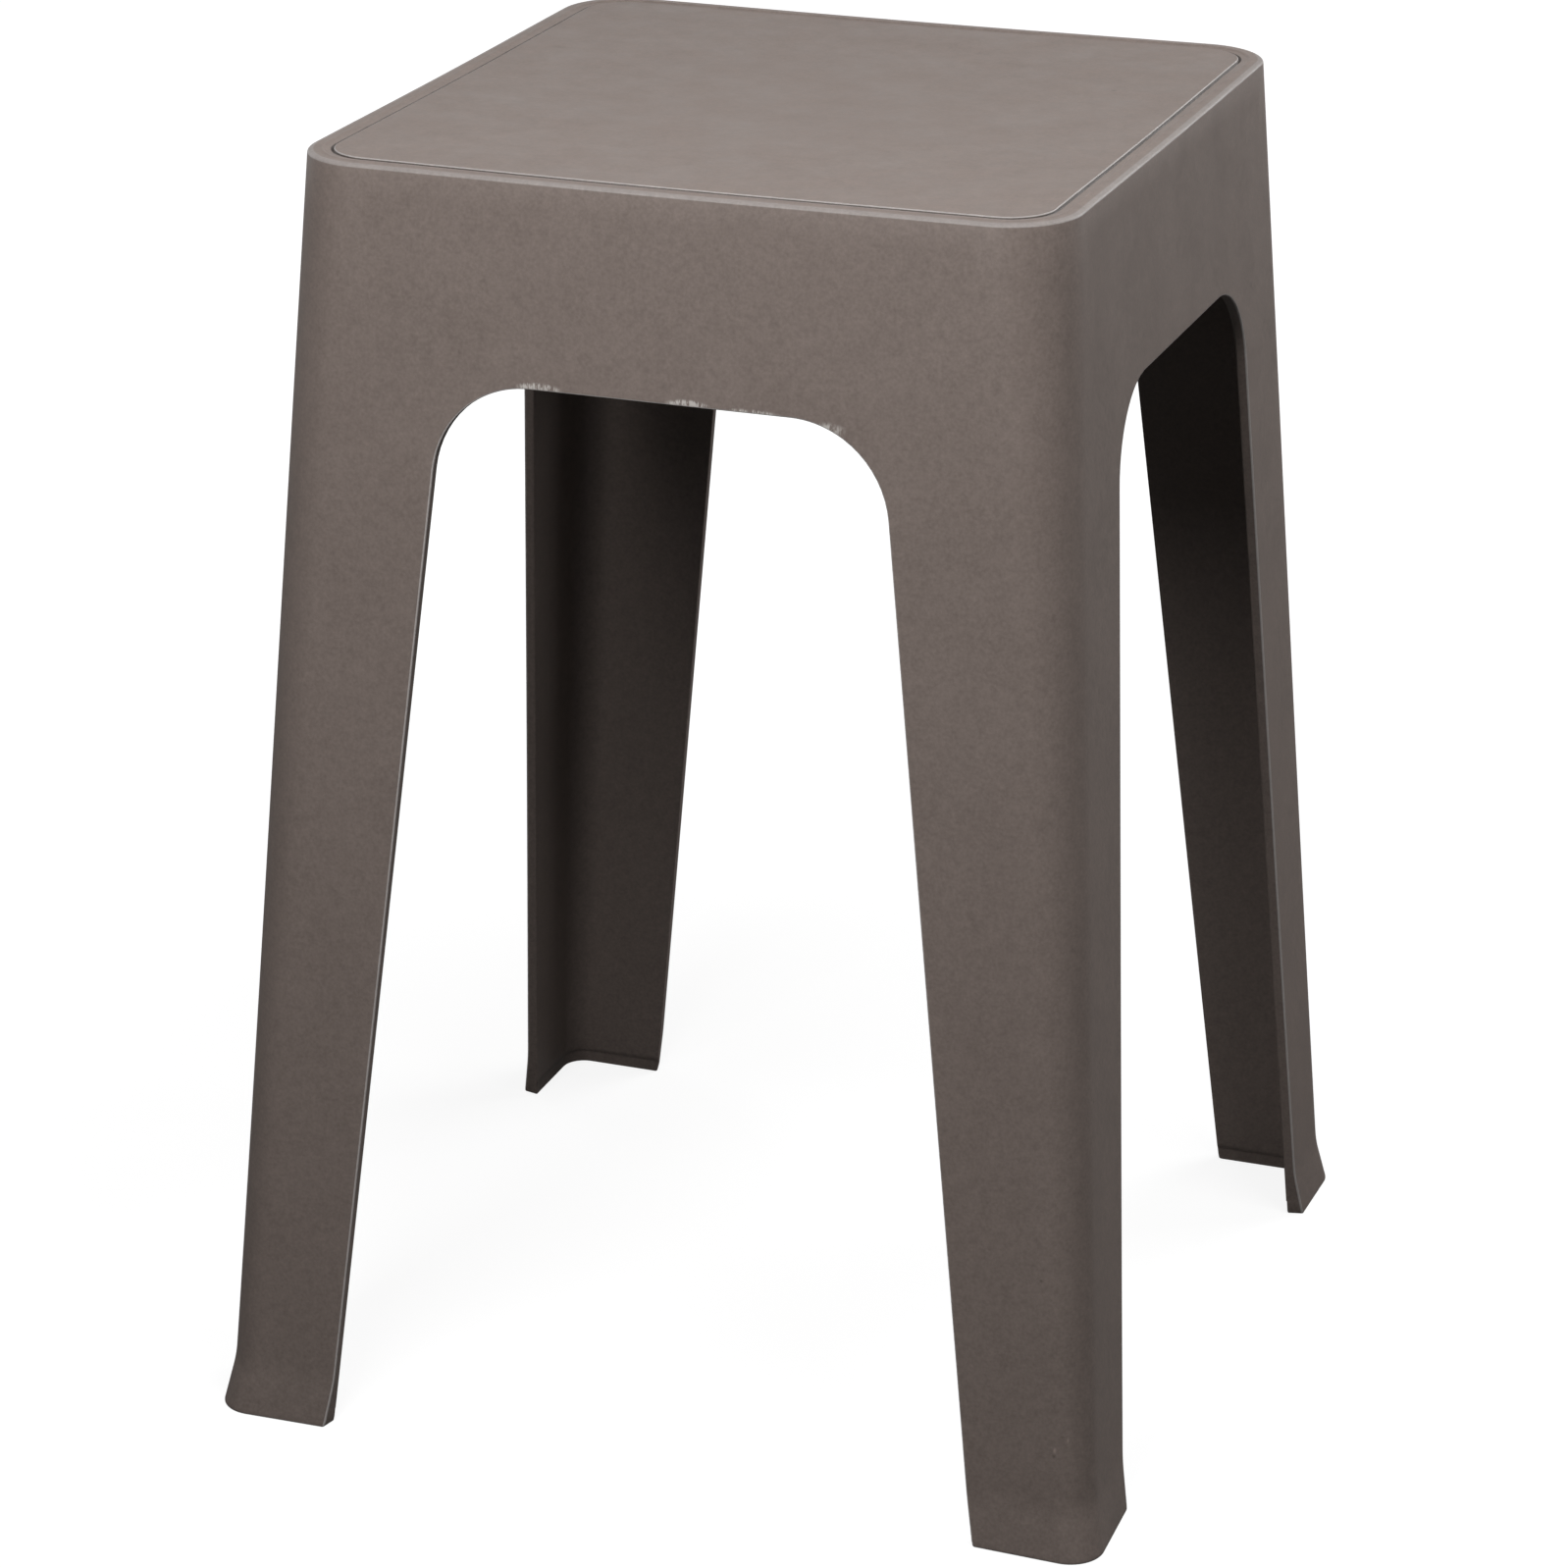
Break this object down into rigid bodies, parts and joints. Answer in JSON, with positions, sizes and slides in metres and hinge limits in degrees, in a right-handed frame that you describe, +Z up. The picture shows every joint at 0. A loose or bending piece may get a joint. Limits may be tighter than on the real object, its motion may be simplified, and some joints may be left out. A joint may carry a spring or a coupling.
{
  "type": "stacking stool",
  "caption": "Square-seated moulded plastic stacking stool with arched aprons and open, splayed corner legs that flare at the feet.",
  "frame": {"origin": "on the floor, under the middle of the seat", "axes": "+Z up, +X to the right seen from the front, -Y towards the front"},
  "size_m": [0.333, 0.333, 0.46],
  "materials": {
    "moulded_plastic": "satin taupe injection-moulded polypropylene with a fine eroded grain"
  },
  "bodies": {
    "root": {"seat_panel": "moulded_plastic", "seat_rim": "moulded_plastic", "centre_ring": "moulded_plastic", "apron_front": "moulded_plastic", "apron_right": "moulded_plastic", "apron_back": "moulded_plastic", "apron_left": "moulded_plastic", "shoulder_front_left": "moulded_plastic", "shoulder_front_right": "moulded_plastic", "shoulder_back_right": "moulded_plastic", "shoulder_back_left": "moulded_plastic", "leg_front_left_front_web": "moulded_plastic", "leg_front_left_side_web": "moulded_plastic", "leg_front_right_front_web": "moulded_plastic", "leg_front_right_side_web": "moulded_plastic", "leg_back_right_back_web": "moulded_plastic", "leg_back_right_side_web": "moulded_plastic", "leg_back_left_back_web": "moulded_plastic", "leg_back_left_side_web": "moulded_plastic", "foot_front_left": "moulded_plastic", "foot_front_right": "moulded_plastic", "foot_back_right": "moulded_plastic", "foot_back_left": "moulded_plastic", "rib_front": "moulded_plastic", "rib_right": "moulded_plastic", "rib_back": "moulded_plastic", "rib_left": "moulded_plastic", "rib_front_left": "moulded_plastic", "rib_front_right": "moulded_plastic", "rib_back_right": "moulded_plastic", "rib_back_left": "moulded_plastic"}
  },
  "joints": []
}
